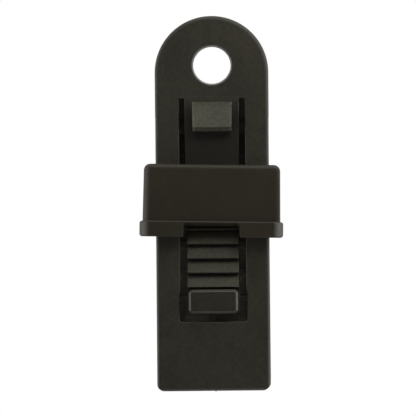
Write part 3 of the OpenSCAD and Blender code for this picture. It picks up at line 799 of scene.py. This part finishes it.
# %% Rings of the collar, down its outside and up its bore
collar_rings = []
for height in (0, 0.05, 0.15, 0.3, 0.5, 0.75, 1.0, 1.4, 1.9):
    in_x, in_y = (drawn_in(height, radius) for radius in TOP_ROUND)
    draft = COLLAR_DRAFT * (1 - height / (FLANGE_TOP - COLLAR_TOP))
    collar_rings.append(collar_ring(COLLAR_TOP + height, COLLAR_HALF - draft, in_x, in_y))
collar_rings += [collar_ring(FLANGE_TOP - 0.12, COLLAR_HALF),
                 collar_ring(FLANGE_TOP, COLLAR_HALF + 0.05, out=0.08)]
for height in (0, 0.03, 0.1, 0.2, 0.3, 0.5, 0.7):
    in_x, in_y = (drawn_in(height, radius) for radius in FLANGE_TOP_ROUND)
    collar_rings.append(collar_ring(FLANGE_TOP + height, FLANGE_HALF, in_x, in_y, FLANGE_OUT))
for height in (0.8, 0.6, 0.4, 0.25, 0.12, 0.04, 0):
    in_x, in_y = (drawn_in(height, radius) for radius in FLANGE_END_ROUND)
    collar_rings.append(collar_ring(COLLAR_END - height, FLANGE_HALF, in_x, in_y, FLANGE_OUT))
for below, let_out in ((COLLAR_END, 0.3), (COLLAR_END - 0.09, 0.09), (COLLAR_END - 0.3, 0),
                       (COLLAR_TOP + 0.3, 0), (COLLAR_TOP + 0.09, 0.09), (COLLAR_TOP, 0.3)):
    collar_rings.append(ring(
        BORE_HALF + let_out, BORE_FRONT - let_out, BORE_BACK + let_out, BORE_CORNER,
        lambda x, y, below=below: at(x, y, below)))
collar = loft(collar_rings, closed=True)
print("collar rings:", len(collar_rings))

# %% [markdown]
# The notch in the flange lets the teeth show. It has round upper corners and walls that spread a
# little, and its roof slopes down towards the back. The rings could leave a gap for it, but its
# corners need points of their own. So it is cut out with a Boolean, whose cutter is lofted between
# two outlines. The flange's corners stand out furthest; they are shinier, and painted paler as a
# painted highlight.

# %% Notch in the flange
NOTCH_R, NOTCH_SPREAD = 0.8, 0.15
NOTCH_FRONT = (8.35, 45.9, -11)  # half its width, its roof below the eyelet, and the depth
NOTCH_BACK = (8.05, 47.5, -5)
NOTCH_EDGE_R = 0.15
NOTCH_REACH, NOTCH_Y = 8.7, -6.5  # its edges lie within this half width, before this depth


def flange_corner(face):
    """Pick the flange's front corners, which are shinier and painted paler as a painted highlight.
    """
    low = face.calc_center_median().z < -FLANGE_TOP * MM
    return int(low and face.normal.y < -0.1 and abs(face.normal.x) > 0.3)


def notch_outline(half_top, top, y):
    """The notch's outline at a depth, from its lower left corner round its top."""
    points = [(-half_top - NOTCH_SPREAD, COLLAR_END + 1)]
    points += [(-half_top + NOTCH_R * (1 - math.cos(a)), top + NOTCH_R * (1 - math.sin(a)))
               for a in (math.radians(15 * i) for i in range(7))]
    points += [(-x, below) for x, below in reversed(points)]
    return [at(x, y, below) for x, below in points]


cutter = loft([notch_outline(*NOTCH_FRONT), notch_outline(*NOTCH_BACK)], closed=False)
collar = cut(collar, cutter)
notch_edges = [e for e in sharp_edges(collar, 40)
               if all(v.co.y < NOTCH_Y * MM and abs(v.co.x) < NOTCH_REACH * MM for v in e.verts)]
round_off(collar, notch_edges, NOTCH_EDGE_R)
print("notch edges:", len(notch_edges))
cock(collar, COCKED)
finish_piece(collar, "collar_moulding", "collar", collar_finish, "collar_plastic", "slide_collar",
             others=(flange_corner_painted_highlight,), pick=flange_corner)

# %% [markdown]
# ## Pawl
# Behind the notch the collar carries the pawl, a small wedge that sits in a valley between two
# teeth. It is part of the collar's moulding, and is copied from the CAD model, because the
# lock depends on its shape. It is turned a little less than the collar, so that it stays in
# its valley.

# %% Pawl
PAWL_R = 0.1
pawl = clean_copy("collar_pawl")
round_off(pawl, sharp_edges(pawl), PAWL_R)
cock(pawl, PAWL_COCKED)
finish_piece(pawl, "collar_pawl_moulding", "collar", collar_finish, "collar_plastic", "collar_pawl")

# %% [markdown]
# ## Web
# The rear jaw hangs on a web of the same plastic, less than a millimetre thick, that bends when the
# collar slides. At rest it is already bent by as much as the jaw stands open, so the web is a strip
# whose rows of points turn evenly from one end to the other.

# %% Web
WEB_HALF_L, WEB_HALF_T, WEB_HALF_W, WEB_ROWS = 0.8, 0.4, 13.6, 12
line, heading = [(HINGE_Y, HINGE_BELOW - WEB_HALF_L)], []
for row in range(WEB_ROWS + 1):
    heading.append(DRAWN_OPEN * row / WEB_ROWS)
for row in range(WEB_ROWS):
    middle = (heading[row] + heading[row + 1]) / 2
    length = 2 * WEB_HALF_L / WEB_ROWS
    y, below = line[-1]
    line.append((y + length * math.sin(middle), below + length * math.cos(middle)))
front_side = [(y - WEB_HALF_T * math.cos(a), below + WEB_HALF_T * math.sin(a))
              for (y, below), a in zip(line, heading)]
back_side = [(y + WEB_HALF_T * math.cos(a), below - WEB_HALF_T * math.sin(a))
             for (y, below), a in zip(line, heading)]
web = strip(front_side + back_side[::-1] + front_side[:1], WEB_HALF_W)
close_strip(web)
# the web's front faces show through the slots and take the walls' painted light
web_piece = finish_piece(web, "web_skin", None, face_plastic, "body_plastic", "hinge_web",
                         others=(wall_painted_light,), pick=lambda face: int(face.normal.y < -0.5))
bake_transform(web_piece)

# %% [markdown]
# ## Floor
# The photograph shows nothing but white around the clip. A wall behind it would catch shadows
# that the photograph doesn't have, so there is only a floor, well below the clip and out of
# the picture. Its rim fades into the white background in other views, and a camera under the
# floor looks through it.

# %% Floor
GROUND_BELOW = 300  # millimetres below the eyelet
GROUND_R = 0.3  # metres
FADE_FROM, FADE_TO = 0.35, 0.98  # shares of the radius
floor_mesh = bmesh.new()
bmesh.ops.create_circle(floor_mesh, cap_ends=True, segments=128, radius=GROUND_R,
                        matrix=Matrix.Translation(at(0, 0, GROUND_BELOW)))
floor_data = bpy.data.meshes.new("floor")
floor_mesh.to_mesh(floor_data)
floor_mesh.free()
floor = bpy.data.objects.new("floor", floor_data)
bpy.context.scene.collection.objects.link(floor)
print("floor:", GROUND_R, "m in radius")

# %% Floor paint
floor_paint = bpy.data.materials.new("floor paint")
floor_paint.use_nodes = True
tree = floor_paint.node_tree
matt = tree.nodes["Principled BSDF"]
matt.inputs["Base Color"].default_value = (0.8, 0.8, 0.8, 1)
matt.inputs["Roughness"].default_value = 0.9
matt.inputs["Specular IOR Level"].default_value = 0.1
here = add(tree, "ShaderNodeTexCoord").outputs["Object"]
flat = add(tree, "ShaderNodeVectorMath", {0: here, 1: (1, 1, 0)}, operation="MULTIPLY")
away = add(tree, "ShaderNodeVectorMath", {0: flat.outputs[0]}, operation="LENGTH")
rim = band(tree, away.outputs["Value"], GROUND_R * FADE_FROM, GROUND_R * FADE_TO)
ray = add(tree, "ShaderNodeLightPath")
seen = sums(tree, "MAXIMUM", ray.outputs["Is Camera Ray"], sums(
    tree, "MAXIMUM", ray.outputs["Is Glossy Ray"], ray.outputs["Is Transmission Ray"]))
white = add(tree, "ShaderNodeEmission", {"Color": (1, 1, 1, 1), "Strength": 1.0})
faded = add(tree, "ShaderNodeMixShader", {
    0: sums(tree, "MULTIPLY", rim, seen), 1: matt.outputs[0], 2: white.outputs[0]})
under = sums(tree, "MULTIPLY", seen, add(tree, "ShaderNodeNewGeometry").outputs["Backfacing"])
shown = add(tree, "ShaderNodeMixShader", {
    0: under, 1: faded.outputs[0], 2: add(tree, "ShaderNodeBsdfTransparent").outputs[0]})
tree.links.new(shown.outputs[0], tree.nodes["Material Output"].inputs["Surface"])
floor_data.materials.append(floor_paint)

# %% [markdown]
# ## Light
# A wide softbox hangs above and in front of the clip, a little to the right. The saw teeth
# and the block lean back towards it and shine, and the flange throws its shadow down over the
# first tooth. A small one near the clip's upper right lights the head. Two lower ones, the
# left one stronger, soften the shadows, and a weak one beside the camera reaches into the
# slots. Two tall ones stand level with the clip's sides and draw the pale lines down its
# edges. A picture of a studio round the scene could light it too, but softboxes can be moved
# one by one.

# %% Lights
AIM_BELOW = 42  # the softboxes face the clip's middle, this far below the eyelet


def softbox(name, azimuth, elevation, away, size, glow):
    """A softbox that faces the clip, as wide and high as size says, all in metres and degrees.

    Azimuth 0 is the camera's side, and positive is to the right. A glow of 1 is white.
    """
    data = bpy.data.lights.new(name, "AREA")
    data.shape, data.size, data.size_y = "RECTANGLE", *size
    data.energy = glow * math.pi * size[0] * size[1]
    lamp = bpy.data.objects.new(name, data)
    bpy.context.scene.collection.objects.link(lamp)
    turn, rise = math.radians(azimuth), math.radians(elevation)
    towards = Vector((math.sin(turn) * math.cos(rise), -math.cos(turn) * math.cos(rise),
                      math.sin(rise)))
    lamp.location = at(0, 0, AIM_BELOW) + towards * away
    lamp.rotation_euler = towards.to_track_quat("Z", "Y").to_euler()
    lamp.visible_camera = False
    print(f"{name}: {glow} times white, {away} m away")


softbox("overhead_softbox", 10, 62, 0.55, (0.66, 0.40), 1.9)
softbox("near_softbox", 48, 44, 0.22, (0.11, 0.09), 3.8)
softbox("right_key", 42, 18, 0.6, (0.16, 0.16), 0.4)
softbox("left_key", -55, 25, 0.6, (0.2, 0.2), 2.0)
softbox("front_fill", 1, -1, 2.0, (0.3, 0.3), 2.4)
softbox("right_softbox", 86, 4, 0.5, (0.16, 0.4), 6.0)
softbox("left_softbox", -86, 4, 0.5, (0.16, 0.4), 4.1)

# %% [markdown]
# ## White surround
# The background of the photograph is pure white. A lit wall could give it, but its light would
# also turn the black plastic grey. So the world is white behind the clip and where the camera
# looks straight at it. On the camera's side it is dark, as a studio is, and the flat faces
# stay black. A little light comes from below, as from a white table.

# %% White surround
CAMERA_SIDE = 0.02  # how bright the studio is behind the camera
TABLE_GLOW = 0.22  # how bright it is straight below
world = bpy.data.worlds.new("white surround")
bpy.context.scene.world = world
world.use_nodes = True
world.cycles.sampling_method = "NONE"
tree = world.node_tree
direction = add(tree, "ShaderNodeTexCoord").outputs["Generated"]
parts = add(tree, "ShaderNodeSeparateXYZ", {0: direction})
around = band(tree, parts.outputs["Y"], -0.3, 0.3, CAMERA_SIDE, 1.0)
table = band(tree, parts.outputs["Z"], -0.15, -0.8, 0.0, TABLE_GLOW)
ray = add(tree, "ShaderNodeLightPath")
behind = sums(tree, "MULTIPLY", ray.outputs["Is Glossy Ray"],
              sums(tree, "GREATER_THAN", parts.outputs["Y"], 0.3))
seen = sums(tree, "MAXIMUM", behind, sums(
    tree, "MAXIMUM", ray.outputs["Is Camera Ray"], ray.outputs["Is Transmission Ray"]))
level = sums(tree, "MAXIMUM", sums(tree, "MAXIMUM", around, table), seen)
tree.links.new(level, tree.nodes["Background"].inputs["Strength"])
tree.nodes["Background"].inputs["Color"].default_value = (1, 1, 1, 1)
print("surround behind the camera:", CAMERA_SIDE)
